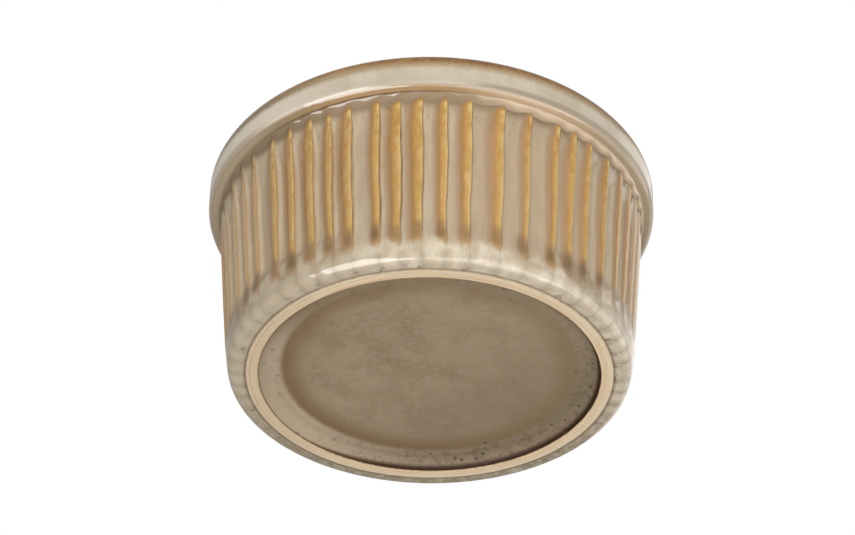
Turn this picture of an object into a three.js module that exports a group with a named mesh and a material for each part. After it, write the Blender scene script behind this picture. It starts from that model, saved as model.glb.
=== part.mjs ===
import * as THREE from 'three';

// Creme brulee dish: a small round stoneware dish with a plain collar, a ribbed wall and a bare
// foot ring. One fired clay body carries three coats of glaze: outside, inside and under the base.
// Millimetres, +Z up. The foot ring stands on z = 0 and the dish is centred on the Z axis.

// Overall size
const RIM_DIAMETER = 90;
const HEIGHT = 46.5;

// Collar and rim
const COLLAR_HEIGHT = 8.9;
const COLLAR_STEP = 2.3; // how far the collar stands out past the rib crests
const COLLAR_EDGE_RADIUS = 1.6;
const RIM_THICKNESS = 6.2; // from the collar's face to the inside of the bowl
const RIM_OUTER_RADIUS = 3.8;
const RIM_LAND = 0.3; // flat crest between the rim's two roundings

// Wall: straight under the collar, then a belly that draws in to the foot
const WALL_TAPER = 0.9; // radius lost from the collar down to the belly
const BELLY_HEIGHT = 25;
const BELLY_WIDTH = 3.5; // radius lost from the top of the belly down to its foot
const BELLY_KNEE = 1.2; // height at which the belly turns in most sharply

// Inside of the bowl
const INSIDE_LEAN = THREE.MathUtils.degToRad(5);
const INSIDE_FILLET = 8;
const FLOOR_THICKNESS = 3.9;

// Foot ring and the recess inside it
const FOOT_LEDGE = 2.15; // glazed ledge between the bare ring and the belly
const FOOT_WIDTH = 2.5;
const COVE_WIDTH = 3.9; // sloping cove from the ring to the flat disc of the base
const RECESS_DEPTH = 2.3;
const DISC_STEP_HEIGHT = 0.3;
const DISC_STEP_WIDTH = 0.4;

// Glaze
const GLAZE_THICKNESS = 0.4;
const GLAZE_LIFT = 0.2; // height at which the glaze stops above the bare foot

// Ribs: cut by hand in four widths. Each leans out slowly to its crest and then drops back.
const RIB_COUNT = 53;
const RIB_RELIEF = 1.1; // from groove to crest
const RIB_DROP_WIDTH = 0.5;
const RIB_TIP_HEIGHT = 4.2; // the ribs rise out of the belly here
const RIB_FULL_HEIGHT = 10.4; // and stand at their full relief from here up
const NARROW_RIB = 4.3;
const MIDDLE_RIB = 4.8;
const BROAD_RIB = 5.7;
const WIDE_RIB = 6.5;
const RIB_ORDER = [
  MIDDLE_RIB, NARROW_RIB, WIDE_RIB, MIDDLE_RIB, MIDDLE_RIB,
  NARROW_RIB, NARROW_RIB, BROAD_RIB, NARROW_RIB, NARROW_RIB,
  MIDDLE_RIB, MIDDLE_RIB, WIDE_RIB, BROAD_RIB, WIDE_RIB,
  NARROW_RIB, NARROW_RIB, BROAD_RIB, BROAD_RIB, MIDDLE_RIB,
];
const FIRST_CREST = THREE.MathUtils.degToRad(-157.5);

// Finishes
const CLAY_FINISH = { color: 0xdac3a2, roughness: 0.9 };
const OUTER_FINISH = { color: 0xbda27c, roughness: 0.25 };
const INNER_FINISH = { color: 0xcbbba2, roughness: 0.25 };
const BASE_FINISH = { color: 0x89755a, roughness: 0.45 };

// Fineness of the facets
const ROUND_STEPS = 54;
const RAMP_STEPS = 3;
const FOOT_STEPS = 3;
const COVE_STEPS = 3;
const EDGE_STEPS = 3;
const RIM_STEPS = 4;
const FILLET_STEPS = 4;

// Radii and heights that follow from the sizes above
const FULL_TURN = 2 * Math.PI;
const QUARTER_TURN = Math.PI / 2;
const rimRadius = RIM_DIAMETER / 2;
const collarBottom = HEIGHT - COLLAR_HEIGHT;
const wallTop = rimRadius - COLLAR_STEP;
const bellyTop = wallTop - WALL_TAPER;
const bellyFoot = bellyTop - BELLY_WIDTH;
const wallSlope = WALL_TAPER / (collarBottom - BELLY_HEIGHT);
const footOuter = bellyFoot - FOOT_LEDGE;
const footInner = footOuter - FOOT_WIDTH;
const coveInner = footInner - COVE_WIDTH;
const discRadius = coveInner - DISC_STEP_WIDTH;
const coveTop = RECESS_DEPTH - DISC_STEP_HEIGHT;
const floorTop = RECESS_DEPTH + FLOOR_THICKNESS;
const leastRounding = 2 * GLAZE_THICKNESS;
const rimOuterRadius = Math.min(RIM_OUTER_RADIUS, RIM_THICKNESS - RIM_LAND - leastRounding);
const rimInnerRadius = RIM_THICKNESS - RIM_LAND - rimOuterRadius;
const rimCrest = rimRadius - rimOuterRadius;
const insideTop = rimRadius - RIM_THICKNESS;

// A point of the glazed outline, with the direction in which the glaze lies on the clay
function outlinePoint(radius, height, outRadius, outHeight) {
  return { radius, height, outRadius, outHeight };
}

// Part of a circle in the outline. side is 1 where the clay lies inside the circle, -1 where outside.
function arc(centreRadius, centreHeight, size, startAngle, endAngle, steps, side) {
  return Array.from({ length: steps + 1 }, (_, step) => {
    const angle = startAngle + ((endAngle - startAngle) * step) / steps;
    const across = Math.cos(angle);
    const up = Math.sin(angle);
    return outlinePoint(centreRadius + size * across, centreHeight + size * up, side * across, side * up);
  });
}

// A point part of the way along a curve of the outline, which travels with the clay on its left
function curvePoint(curve, share) {
  const place = curve.getPoint(share);
  const along = curve.getTangent(share);
  return outlinePoint(place.x, place.y, along.y, -along.x);
}

// Even steps along a curve of the outline, without its last point
function curvePoints(curve, endShare, steps) {
  return Array.from({ length: steps }, (_, step) => curvePoint(curve, (endShare * step) / steps));
}

// How far along a curve with one knee a height is reached
function shareAtHeight(curve, height) {
  const bow = curve.v0.y - 2 * curve.v1.y + curve.v2.y;
  const climb = curve.v1.y - curve.v0.y;
  return (Math.sqrt(climb * climb + bow * (height - curve.v0.y)) - climb) / bow;
}

// Columns of facets round the dish. rise is 1 on a rib's crest and 0 at the foot of its drop.
function plainColumns() {
  return Array.from({ length: ROUND_STEPS }, (_, step) => ({
    angle: FIRST_CREST + (FULL_TURN * step) / ROUND_STEPS,
    rise: 0,
  }));
}

function ribColumns() {
  const widths = Array.from({ length: RIB_COUNT }, (_, rib) => RIB_ORDER[rib % RIB_ORDER.length]);
  const girth = widths.reduce((sum, width) => sum + width, 0);
  const angleAt = (distance) => FIRST_CREST + (FULL_TURN * distance) / girth;
  const columns = [];
  let crest = 0;
  for (const width of widths) {
    columns.push({ angle: angleAt(crest), rise: 1 });
    for (let step = 0; step < RAMP_STEPS; step += 1) {
      const along = step / RAMP_STEPS;
      const distance = crest + RIB_DROP_WIDTH + along * (width - RIB_DROP_WIDTH);
      columns.push({ angle: angleAt(distance), rise: (1 - Math.cos(Math.PI * along)) / 2 });
    }
    crest += width;
  }
  return columns;
}

const plain = plainColumns();
const ribbed = ribColumns();

// One ring of points round the axis, at the glaze's face or, sunk by the coat, at the clay's.
// Where the relief is less than full, only the upper part of each rib stands out of the wall.
function ring(columns, point, sunk, relief = 0) {
  const radius = point.radius - sunk * point.outRadius;
  const height = point.height - sunk * point.outHeight;
  return columns.map(({ angle, rise }) => {
    const ribHeight = Math.max(0, rise * RIB_RELIEF - (RIB_RELIEF - relief));
    const reach = radius - relief + ribHeight;
    return { angle, place: [reach * Math.cos(angle), reach * Math.sin(angle), height] };
  });
}

function plainRings(points, sunk) {
  return points.map((point) => ring(plain, point, sunk));
}

function axisPoint(height) {
  return [{ angle: FIRST_CREST, place: [0, 0, height] }];
}

// The triangles between two rings, which may have different numbers of points
function band(lower, upper) {
  const nextAngle = (points, index) => {
    if (points.length === 1 || index === points.length) {
      return Infinity;
    }
    return index + 1 === points.length ? points[0].angle + FULL_TURN : points[index + 1].angle;
  };
  const placeOf = (points, index) => points[index % points.length].place;
  const triangles = [];
  let low = 0;
  let high = 0;
  while (Math.min(nextAngle(lower, low), nextAngle(upper, high)) < Infinity) {
    if (nextAngle(lower, low) <= nextAngle(upper, high)) {
      triangles.push([placeOf(lower, low), placeOf(lower, low + 1), placeOf(upper, high)]);
      low += 1;
    } else {
      triangles.push([placeOf(lower, low), placeOf(upper, high + 1), placeOf(upper, high)]);
      high += 1;
    }
  }
  return triangles;
}

function skin(rings) {
  return rings.slice(1).flatMap((upper, index) => band(rings[index], upper));
}

// The same skin seen from its other side, as the back of a coat lies on the clay
function turnedOver(triangles) {
  return triangles.map(([first, second, third]) => [first, third, second]);
}

// Outlines of the glazed dish: the base from the axis out, the outside going up, the inside down

const cove = new THREE.QuadraticBezierCurve(
  new THREE.Vector2(coveInner, coveTop),
  new THREE.Vector2(footInner - COVE_WIDTH / 2, coveTop),
  new THREE.Vector2(footInner, GLAZE_LIFT),
);

const belly = new THREE.QuadraticBezierCurve(
  new THREE.Vector2(bellyFoot, GLAZE_LIFT),
  new THREE.Vector2(bellyTop - wallSlope * (BELLY_HEIGHT - BELLY_KNEE), BELLY_KNEE),
  new THREE.Vector2(bellyTop, BELLY_HEIGHT),
);

const ribTipShare = shareAtHeight(belly, RIB_TIP_HEIGHT);
const ribFullShare = shareAtHeight(belly, RIB_FULL_HEIGHT);

const collarOutline = [
  ...arc(rimRadius - COLLAR_EDGE_RADIUS, collarBottom + COLLAR_EDGE_RADIUS, COLLAR_EDGE_RADIUS,
    -QUARTER_TURN, 0, EDGE_STEPS, 1),
  ...arc(rimCrest, HEIGHT - rimOuterRadius, rimOuterRadius, 0, QUARTER_TURN, RIM_STEPS, 1),
];

// Where the coats end: two edges at the sides of the foot ring and one joint on the crest of the rim
const baseEdge = outlinePoint(footInner, GLAZE_LIFT, 0, -1);
const outsideEdge = outlinePoint(footOuter, GLAZE_LIFT, 0, -1);
const rimJoint = outlinePoint(rimCrest, HEIGHT, 0, 1);

const insideOutline = [
  rimJoint,
  ...arc(insideTop + rimInnerRadius, HEIGHT - rimInnerRadius, rimInnerRadius,
    QUARTER_TURN, 2 * QUARTER_TURN, EDGE_STEPS, 1),
  ...insideFillet(),
];

function insideFillet() {
  const wallEnd = floorTop + INSIDE_FILLET * (1 - Math.sin(INSIDE_LEAN));
  const wallEndRadius = insideTop - Math.tan(INSIDE_LEAN) * (HEIGHT - rimInnerRadius - wallEnd);
  const centreRadius = wallEndRadius - INSIDE_FILLET * Math.cos(INSIDE_LEAN);
  const centreHeight = floorTop + INSIDE_FILLET;
  return arc(centreRadius, centreHeight, INSIDE_FILLET, -INSIDE_LEAN, -QUARTER_TURN, FILLET_STEPS, -1);
}

// Skins of the dish. sunk is 0 at the face of the glaze and the coat's thickness at the clay.

function baseSkin(sunk) {
  const disc = outlinePoint(discRadius, RECESS_DEPTH, 0, -1);
  return skin([
    axisPoint(RECESS_DEPTH + sunk),
    ...plainRings([disc, ...curvePoints(cove, 1, COVE_STEPS)], sunk),
    ...glazeEdge(baseEdge, sunk),
  ]);
}

function outsideSkin(sunk) {
  const underCollar = outlinePoint(wallTop, collarBottom, 1, -1);
  return skin([
    ...glazeEdge(outsideEdge, sunk).reverse(),
    ...plainRings(curvePoints(belly, ribTipShare, FOOT_STEPS), sunk),
    ring(ribbed, curvePoint(belly, ribTipShare), sunk),
    ring(ribbed, curvePoint(belly, (ribTipShare + ribFullShare) / 2), sunk, RIB_RELIEF / 2),
    ring(ribbed, curvePoint(belly, ribFullShare), sunk, RIB_RELIEF),
    ring(ribbed, curvePoint(belly, 1), sunk, RIB_RELIEF),
    ring(ribbed, underCollar, sunk, RIB_RELIEF),
    ...plainRings(collarOutline, sunk),
  ]);
}

function insideSkin(sunk) {
  return skin([...plainRings(insideOutline, sunk), axisPoint(floorTop - sunk)]);
}

// A coat ends square against the side of the foot ring, so the clay has one more corner there
function glazeEdge(edge, sunk) {
  return sunk > 0 ? plainRings([edge], sunk).concat(plainRings([edge], 0)) : plainRings([edge], 0);
}

// The bare foot ring, from the edge of the base glaze to the edge of the outside glaze
function footSkin() {
  const innerCorner = outlinePoint(footInner, 0, 0, -1);
  const outerCorner = outlinePoint(footOuter, 0, 0, -1);
  return skin(plainRings([baseEdge, innerCorner, outerCorner, outsideEdge], 0));
}

// The upright joint on the crest of the rim, where the outside and inside coats meet
function rimJointSkin() {
  return skin([ring(plain, rimJoint, 0), ring(plain, rimJoint, GLAZE_THICKNESS)]);
}

function solid(name, finish, ...skins) {
  const geometry = new THREE.BufferGeometry();
  geometry.setAttribute('position', new THREE.Float32BufferAttribute(skins.flat(3), 3));
  geometry.computeVertexNormals();
  const mesh = new THREE.Mesh(geometry, new THREE.MeshStandardMaterial({ ...finish, metalness: 0 }));
  mesh.name = name;
  return mesh;
}

const clayBase = baseSkin(GLAZE_THICKNESS);
const clayOutside = outsideSkin(GLAZE_THICKNESS);
const clayInside = insideSkin(GLAZE_THICKNESS);
const coatJoint = rimJointSkin();

const dish = new THREE.Group();
dish.add(
  solid('stoneware_body', CLAY_FINISH, clayBase, footSkin(), clayOutside, clayInside),
  solid('outer_glaze', OUTER_FINISH, outsideSkin(0), coatJoint, turnedOver(clayOutside)),
  solid('inner_glaze', INNER_FINISH, insideSkin(0), turnedOver(clayInside), turnedOver(coatJoint)),
  solid('base_glaze', BASE_FINISH, baseSkin(0), turnedOver(clayBase)),
);

export default dish;
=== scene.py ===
import math

import bpy
import numpy as np
from mathutils import Matrix, Vector


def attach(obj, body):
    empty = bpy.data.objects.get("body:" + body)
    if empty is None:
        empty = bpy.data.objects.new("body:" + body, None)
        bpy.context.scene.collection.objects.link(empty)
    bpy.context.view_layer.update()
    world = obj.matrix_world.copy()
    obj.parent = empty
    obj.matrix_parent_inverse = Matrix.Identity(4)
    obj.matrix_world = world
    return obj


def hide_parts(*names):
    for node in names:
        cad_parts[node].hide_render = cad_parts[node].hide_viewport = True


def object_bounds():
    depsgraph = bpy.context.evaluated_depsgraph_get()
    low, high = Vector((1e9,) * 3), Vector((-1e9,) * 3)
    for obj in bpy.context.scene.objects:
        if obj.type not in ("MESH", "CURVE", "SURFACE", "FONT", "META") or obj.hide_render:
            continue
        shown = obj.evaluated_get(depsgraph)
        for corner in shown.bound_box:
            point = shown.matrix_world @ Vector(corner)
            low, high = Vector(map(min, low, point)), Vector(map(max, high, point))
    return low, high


# Creme brulee dish: the finished surfaces of the fired clay and of its three coats of glaze.
# Shapes are worked out in millimetres, in the frame of the solids, and built in metres.

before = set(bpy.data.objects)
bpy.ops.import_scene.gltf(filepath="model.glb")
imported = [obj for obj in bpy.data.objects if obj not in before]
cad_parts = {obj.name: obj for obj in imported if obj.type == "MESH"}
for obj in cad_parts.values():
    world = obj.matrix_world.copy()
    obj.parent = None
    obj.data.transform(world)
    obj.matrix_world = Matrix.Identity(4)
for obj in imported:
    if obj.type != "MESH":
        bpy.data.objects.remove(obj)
cad_low, cad_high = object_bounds()

MM = 0.001
FULL_TURN = 2 * math.pi
QUARTER_TURN = math.pi / 2

# Sizes of the dish: lengths in millimetres, angles in radians
HEIGHT = round(cad_high.z / MM, 1)
RIM_RADIUS = round(cad_high.y / MM, 1)
COLLAR_HEIGHT = 8.9
COLLAR_STEP = 2.3
COLLAR_EDGE_RADIUS = 1.6
COLLAR_FILLET_HEIGHT = 1.6
COLLAR_FILLET_REACH = 0.3
RIM_THICKNESS = 6.2
RIM_OUTER_RADIUS = 3.8
RIM_INNER_RADIUS = 2.1
WALL_TAPER = 0.9
BELLY_HEIGHT = 25.0
BELLY_WIDTH = 3.5
BELLY_ROUNDING = 1.9
BELLY_ROUNDING_END = math.radians(-22)
BELLY_INSET = 0.45
INSIDE_LEAN = math.radians(5)
INSIDE_FILLET = 8.0
FLOOR_THICKNESS = 3.9
FOOT_LEDGE = 2.15
FOOT_WIDTH = 2.5
FOOT_ROUNDING = 0.18
COVE_WIDTH = 2.75
RECESS_DEPTH = 2.3
DISC_STEP_HEIGHT = 0.3
DISC_STEP_WIDTH = 2.0
GLAZE_THICKNESS = 0.4
GLAZE_LIFT = 0.14
GLAZE_LIP = 0.12

# Ribs, in millimetres. Each leans out slowly to its crest and then drops back.
RIB_COUNT = 53
RIB_RELIEF = 1.1
RIB_DROP_WIDTH = 0.5
RIB_TIP_HEIGHT = 4.2
RIB_FULL_HEIGHT = 10.4
RIB_SOFT_HEIGHT = 9.0
RIB_SOFT_LEVEL = 0.5
RIB_SOFT_WAVE = 0.36
NARROW_RIB = 4.3
MIDDLE_RIB = 4.8
BROAD_RIB = 5.7
WIDE_RIB = 6.5
RIB_ORDER = [
    MIDDLE_RIB, NARROW_RIB, WIDE_RIB, MIDDLE_RIB, MIDDLE_RIB,
    NARROW_RIB, NARROW_RIB, BROAD_RIB, NARROW_RIB, NARROW_RIB,
    MIDDLE_RIB, MIDDLE_RIB, WIDE_RIB, BROAD_RIB, WIDE_RIB,
    NARROW_RIB, NARROW_RIB, BROAD_RIB, BROAD_RIB, MIDDLE_RIB,
]
FIRST_CREST = math.radians(-157.5)

# Small irregularities of the outside, in millimetres
CREST_WANDER = 0.1
SLOW_WANDER_LENGTH = 23
QUICK_WANDER_LENGTH = 8.5
QUICK_WANDER_SHARE = 0.4
LOBE_DEPTH = 0.025
LOBE_TOP = 6.5
LOBE_FULL = 2.5
VALLEY_BROADNESS = 0.7
VALLEY_SHARPNESS = 6
EDGE_SCALLOP = 0.15
EDGE_SCALLOP_ROWS = (1, 1, 0.7, 0.3)

# Fineness of the meshes: a factor for the rows, and the columns of each rib as places on its drop,
# in millimetres, and shares of its ramp
FINE = 2
COARSE = 1
FINE_DROP = (0, 0.05, 0.11, 0.18, 0.26, 0.35, 0.42)
FINE_RAMP = (0, 0.08, 0.17, 0.27, 0.37, 0.47, 0.57, 0.66, 0.74, 0.81, 0.87, 0.92, 0.96, 0.985)
COARSE_DROP = (0,)
COARSE_RAMP = (0, 0.25, 0.5, 0.75)
PLAIN_COLUMNS = 240
INNERMOST_RING = 1.5

# The amber stripe on each crest, in millimetres. A pair says where a change starts and where it is full.
THIN_REACH = 4.0
STRIPE_TOP = 35.0
STRIPE_FOOT = 5.4
STRIPE_END_SHARPNESS = 1.5
STRIPE_FADE = (4, -1.2)
LOW_NARROWING = 0.2
LOW_NARROWING_HEIGHTS = (24, 8)
RIGHT_NARROWING = 0.22
RIGHT_NARROWING_PLACES = (10, 24)
TOP_NARROWING = 0.1
TOP_NARROWING_ASIDE = 0.16
TOP_NARROWING_HEIGHTS = (30, 35.5)
ASIDE_PLACES = (8, 20)
DROP_THINNING = 15.0
DROP_THINNING_LOW = 7
DROP_THINNING_HEIGHTS = (4.5, 8)

# Marks beside the stripes and below them, in millimetres: some are the glaze's, some are painted shade
# The line just right of each crest is a painted shadow on the drop face
LINE_PLACE = 0.2
LINE_WIDTH = 0.12
LINE_CORE = 0.04
LINE_FOOT_FADE = (-1, 3)
LINE_TOP_FADE = (1, -0.5)
# The smudge at the foot of each rib is partly glaze and partly painted shade
TIP_ABOVE_FOOT = 0.6
TIP_ASIDE = 0.9
TIP_REACH_UP = 3.8
TIP_REACH_DOWN = 2.2
TIP_CORE = 0.2
POOL_BELOW_FOOT = 2.0
POOL_RISE = 0.6
POOL_SKEW = 0.756
POOL_SOFTNESS = 2.3
CLEFT_WIDTH = 0.16
CLEFT_CORE = 0.04
CLEFT_FADE = (-0.5, -2.5)
CLEFT_FAINTEST = 0.3
# Painted shade in the valleys between the lobes near the foot
VALLEY_HEIGHTS = (3.4, 1.0)
# At the tops of the grooves: the glaze's edge, with painted shade under the collar below it
SCALLOP_HEIGHT = 35.6
SCALLOP_RISE = 0.6
SCALLOP_WIDTH = 0.3
SCALLOP_FADE = 2.2
UNDERSIDE_END = (0.7, 0.1)
# The crease under the collar: brown glaze darkened with painted shade
CREASE_TURN = (0.55, 0.1)

# Differences from rib to rib, from the least to the most
SEED = 7
STRIPE_WIDTHS = (0.8, 1.2)
STRIPE_FOOT_STRAY = (-0.6, 0.6)
STRIPE_TOP_STRAY = (-0.3, 0.3)
POOL_STRAY = (-0.7, 0.7)
TIP_WIDTHS = (1.5, 2.5)
TIP_STRENGTHS = (0.4, 1.0)

# Places where the finish changes, in millimetres
RIGHT_SIDE = (4, 17)
RIM_FLANK_HEIGHTS = (41.4, 43.0)
RIM_AMBER_HEIGHTS = (42.6, 44.2)
INSIDE_AMBER_HEIGHTS = (43.8, 45.8)

# Heights and radii that follow
collar_bottom = HEIGHT - COLLAR_HEIGHT
fillet_foot = collar_bottom - COLLAR_FILLET_HEIGHT
wall_top = RIM_RADIUS - COLLAR_STEP
belly_top = wall_top - WALL_TAPER
belly_foot = belly_top - BELLY_WIDTH
wall_slope = WALL_TAPER / (collar_bottom - BELLY_HEIGHT)
foot_outer = belly_foot - FOOT_LEDGE
foot_inner = foot_outer - FOOT_WIDTH
cove_inner = foot_inner - COVE_WIDTH
disc_radius = cove_inner - DISC_STEP_WIDTH
cove_top = RECESS_DEPTH - DISC_STEP_HEIGHT
floor_top = RECESS_DEPTH + FLOOR_THICKNESS
rim_crest = RIM_RADIUS - RIM_OUTER_RADIUS
inside_top = RIM_RADIUS - RIM_THICKNESS

random = np.random.default_rng(SEED)
wander_phase = random.uniform(0, FULL_TURN, (2, RIB_COUNT))
stripe_width = random.uniform(*STRIPE_WIDTHS, RIB_COUNT)
stripe_foot = STRIPE_FOOT + random.uniform(*STRIPE_FOOT_STRAY, RIB_COUNT)
stripe_top = STRIPE_TOP + random.uniform(*STRIPE_TOP_STRAY, RIB_COUNT)
pool_height = random.uniform(*POOL_STRAY, RIB_COUNT)
tip_width = random.uniform(*TIP_WIDTHS, RIB_COUNT)
tip_strength = random.uniform(*TIP_STRENGTHS, RIB_COUNT)
stripe_tone = random.uniform(0, 1, RIB_COUNT)


def smooth_step(low, high, value):
    share = np.clip((value - low) / (high - low), 0, 1)
    return share * share * (3 - 2 * share)


# Outlines: rows of radius, height and the direction in which the glaze lies on the clay

def straight(first, last, normal, count):
    points = np.linspace(first, last, count)
    return np.hstack([points, np.tile(normal, (count, 1))])


def arc(centre, size, start, end, count, side=1):
    angle = np.linspace(start, end, count)
    out = np.stack([np.cos(angle), np.sin(angle)], axis=1)
    return np.hstack([np.array(centre) + size * out, side * out])


def bezier(first, knee, last, count):
    """A curve with one knee, travelled with the clay on its left."""
    first, knee, last = np.array(first), np.array(knee), np.array(last)
    share = np.linspace(0, 1, count)[:, None]
    points = (1 - share) ** 2 * first + 2 * share * (1 - share) * knee + share ** 2 * last
    along = (1 - share) * (knee - first) + share * (last - knee)
    along /= np.linalg.norm(along, axis=1, keepdims=True)
    return np.hstack([points, along[:, 1:], -along[:, :1]])


def belly(count):
    """The rounding at the foot of the belly and the curve from there up to the wall."""
    centre = (belly_foot - BELLY_INSET, GLAZE_LIFT + BELLY_ROUNDING)
    rounding = arc(centre, BELLY_ROUNDING, -QUARTER_TURN, BELLY_ROUNDING_END, 1 + count // 3)
    first = rounding[-1, :2]
    lean = -math.tan(BELLY_ROUNDING_END)
    wall_at_foot = belly_top - wall_slope * BELLY_HEIGHT
    knee_height = (wall_at_foot - first[0] + lean * first[1]) / (lean - wall_slope)
    knee = (belly_top - wall_slope * (BELLY_HEIGHT - knee_height), knee_height)
    curve = bezier(first, knee, (belly_top, BELLY_HEIGHT), 1 + count)
    return np.vstack([rounding[:-1], curve])


def foot_to_wall(fineness):
    """The outside from the edge of the glaze at the foot ring up to the fillet under the collar."""
    ledge_end = (belly_foot - BELLY_INSET, GLAZE_LIFT)
    return np.vstack([
        [[foot_outer, GLAZE_LIFT + GLAZE_LIP, -1, 0]],
        straight((foot_outer + GLAZE_LIP, GLAZE_LIFT), ledge_end, (0, -1), 1 + 3 * fineness)[:-1],
        belly(27 * fineness)[:-1],
        straight((belly_top, BELLY_HEIGHT), (wall_top, fillet_foot), (1, 0), 1 + 14 * fineness)[:-1],
    ])


def collar_fillet(fineness):
    """A hollow turn from the wall into the collar's underside. The ribs die out in it."""
    angle = np.linspace(0, QUARTER_TURN, 1 + 5 * fineness)
    across, down = np.cos(angle), np.sin(angle)
    return np.stack([
        wall_top + COLLAR_FILLET_REACH * (1 - across),
        collar_bottom - COLLAR_FILLET_HEIGHT * (1 - down),
        across,
        -down,
    ], axis=1)


def collar_underside(fineness):
    first = (wall_top + COLLAR_FILLET_REACH, collar_bottom)
    last = (RIM_RADIUS - COLLAR_EDGE_RADIUS, collar_bottom)
    return straight(first, last, (0, -1), 2 + 3 * fineness)[1:-1]


def collar_face(fineness):
    edge_centre = (RIM_RADIUS - COLLAR_EDGE_RADIUS, collar_bottom + COLLAR_EDGE_RADIUS)
    rim_centre = (rim_crest, HEIGHT - RIM_OUTER_RADIUS)
    face_bottom = (RIM_RADIUS, collar_bottom + COLLAR_EDGE_RADIUS)
    face_top = (RIM_RADIUS, HEIGHT - RIM_OUTER_RADIUS)
    return np.vstack([
        arc(edge_centre, COLLAR_EDGE_RADIUS, -QUARTER_TURN, 0, 1 + 4 * fineness),
        straight(face_bottom, face_top, (1, 0), 1 + 3 * fineness)[1:-1],
        arc(rim_centre, RIM_OUTER_RADIUS, 0, QUARTER_TURN, 1 + 7 * fineness),
    ])


def outside_parts(fineness):
    return (foot_to_wall(fineness), collar_fillet(fineness), collar_underside(fineness),
            collar_face(fineness))


def inside_outline(fineness):
    """The inside of the bowl, from the crest of the rim down to the floor."""
    wall_start = HEIGHT - RIM_INNER_RADIUS
    wall_end = floor_top + INSIDE_FILLET * (1 - math.sin(INSIDE_LEAN))
    wall_end_radius = inside_top - math.tan(INSIDE_LEAN) * (wall_start - wall_end)
    wall_normal = (-math.cos(INSIDE_LEAN), math.sin(INSIDE_LEAN))
    rim_centre = (inside_top + RIM_INNER_RADIUS, wall_start)
    fillet_centre = (wall_end_radius - INSIDE_FILLET * math.cos(INSIDE_LEAN), floor_top + INSIDE_FILLET)
    return np.vstack([
        [[rim_crest, HEIGHT, 0, 1]],
        arc(rim_centre, RIM_INNER_RADIUS, QUARTER_TURN, 2 * QUARTER_TURN, 1 + 4 * fineness),
        straight((inside_top, wall_start), (wall_end_radius, wall_end), wall_normal,
                 1 + 8 * fineness)[1:-1],
        arc(fillet_centre, INSIDE_FILLET, -INSIDE_LEAN, -QUARTER_TURN, 1 + 6 * fineness, -1),
        straight((fillet_centre[0], floor_top), (INNERMOST_RING, floor_top), (0, 1),
                 1 + 6 * fineness)[1:],
    ])


def base_outline(fineness):
    """The recess under the base, from near the axis out to the foot ring."""
    across = np.linspace(0, 1, 1 + 4 * fineness)
    step = np.stack([
        disc_radius + DISC_STEP_WIDTH * across,
        RECESS_DEPTH - DISC_STEP_HEIGHT * smooth_step(0, 1, across),
        np.zeros_like(across),
        -np.ones_like(across),
    ], axis=1)
    cove_knee = (foot_inner - COVE_WIDTH / 2, cove_top)
    cove_end = (foot_inner - GLAZE_LIP, GLAZE_LIFT)
    return np.vstack([
        straight((INNERMOST_RING, RECESS_DEPTH), (disc_radius, RECESS_DEPTH), (0, -1),
                 1 + 6 * fineness)[:-1],
        step[:-1],
        bezier((cove_inner, cove_top), cove_knee, cove_end, 1 + 6 * fineness),
        [[foot_inner, GLAZE_LIFT + GLAZE_LIP, 1, 0]],
    ])


def foot_outline(fineness):
    """The bare foot ring, from its inner side to its outer side."""
    inner = (foot_inner + FOOT_ROUNDING, FOOT_ROUNDING)
    outer = (foot_outer - FOOT_ROUNDING, FOOT_ROUNDING)
    return np.vstack([
        arc(inner, FOOT_ROUNDING, -2 * QUARTER_TURN, -QUARTER_TURN, 1 + 2 * fineness),
        straight((inner[0], 0), (outer[0], 0), (0, -1), 1 + 3 * fineness)[1:-1],
        arc(outer, FOOT_ROUNDING, -QUARTER_TURN, 0, 1 + 2 * fineness),
    ])


# Columns round the dish

def rib_columns(drop_places, ramp_shares):
    """One entry per column: its rib, its place right of the rib's crest and what follows from them."""
    widths = np.array([RIB_ORDER[rib % len(RIB_ORDER)] for rib in range(RIB_COUNT)])
    crests = np.concatenate([[0], np.cumsum(widths)[:-1]])
    ribs, places = [], []
    for rib, width in enumerate(widths):
        ramp = [RIB_DROP_WIDTH + share * (width - RIB_DROP_WIDTH) for share in ramp_shares]
        here = list(drop_places) + ramp
        ribs += [rib] * len(here)
        places += here
    ribs, places = np.array(ribs), np.array(places)
    along = (places - RIB_DROP_WIDTH) / (widths[ribs] - RIB_DROP_WIDTH)
    fall = (1 + np.cos(math.pi * places / RIB_DROP_WIDTH)) / 2
    climb = (1 - np.cos(math.pi * np.clip(along, 0, 1))) / 2
    return {
        "angle": FIRST_CREST + FULL_TURN * (crests[ribs] + places) / widths.sum(),
        "rib": ribs,
        "share": places / widths[ribs],
        "rise": np.where(places < RIB_DROP_WIDTH, fall, climb),
        "right": places,
        "left": np.where(places > 0, widths[ribs] - places, 0),
        "next": np.where(places > 0, (ribs + 1) % RIB_COUNT, ribs),
    }


def plain_angles():
    return FIRST_CREST + FULL_TURN * np.arange(PLAIN_COLUMNS) / PLAIN_COLUMNS


def from_crest_to_crest(values, columns):
    """A value of each rib, run evenly from its own crest to the next one."""
    ribs, share = columns["rib"], columns["share"]
    return values[..., ribs] * (1 - share) + values[..., (ribs + 1) % RIB_COUNT] * share


def crest_wave(columns):
    """1 at each crest and 0 halfway between two crests."""
    return (1 + np.cos(FULL_TURN * columns["share"])) / 2


def lobe_valley(columns):
    """1 in the cleft below each crest and 0 on the crown of the lobe between two clefts."""
    wave = crest_wave(columns)
    return VALLEY_BROADNESS * wave + (1 - VALLEY_BROADNESS) * wave ** VALLEY_SHARPNESS


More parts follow.
